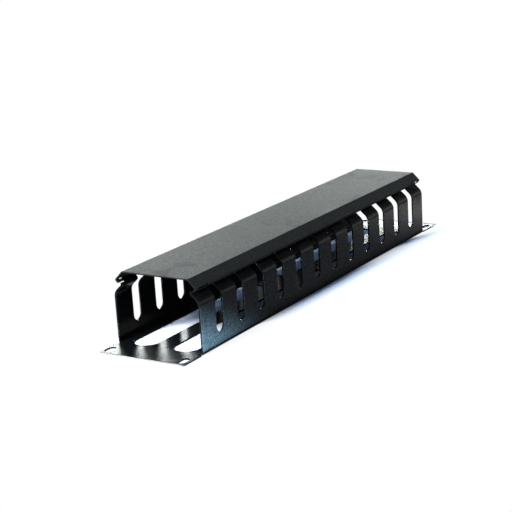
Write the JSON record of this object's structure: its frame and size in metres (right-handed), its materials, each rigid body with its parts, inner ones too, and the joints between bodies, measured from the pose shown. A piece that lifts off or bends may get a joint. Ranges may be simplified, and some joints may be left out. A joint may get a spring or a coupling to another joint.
{
  "type": "horizontal cable manager",
  "caption": "Rack-mount cable duct of folded black steel: slotted finger walls on a flat panel with mounting ears, closed by a clip-on cover.",
  "frame": {"origin": "centre of the panel's rear face, the face that lies against the rack posts; the part lies on this face as in the picture", "axes": "+X along the rack's width (the longest extent), +Y along the rack's height, +Z out of the rack front, from the panel towards the cover"},
  "size_m": [0.4826, 0.088, 0.0655],
  "materials": {
    "channel_paint": "gloss black powder coat",
    "cover_paint": "fine-textured semi-matt black powder coat"
  },
  "bodies": {
    "channel": {"base_channel": "channel_paint"},
    "lid": {"cover": "cover_paint"}
  },
  "joints": [
    {"name": "cover_slide", "type": "slide", "parent": "channel", "child": "lid", "axis": [1, 0, 0], "range_m": [-0.36, 0.36]}
  ]
}
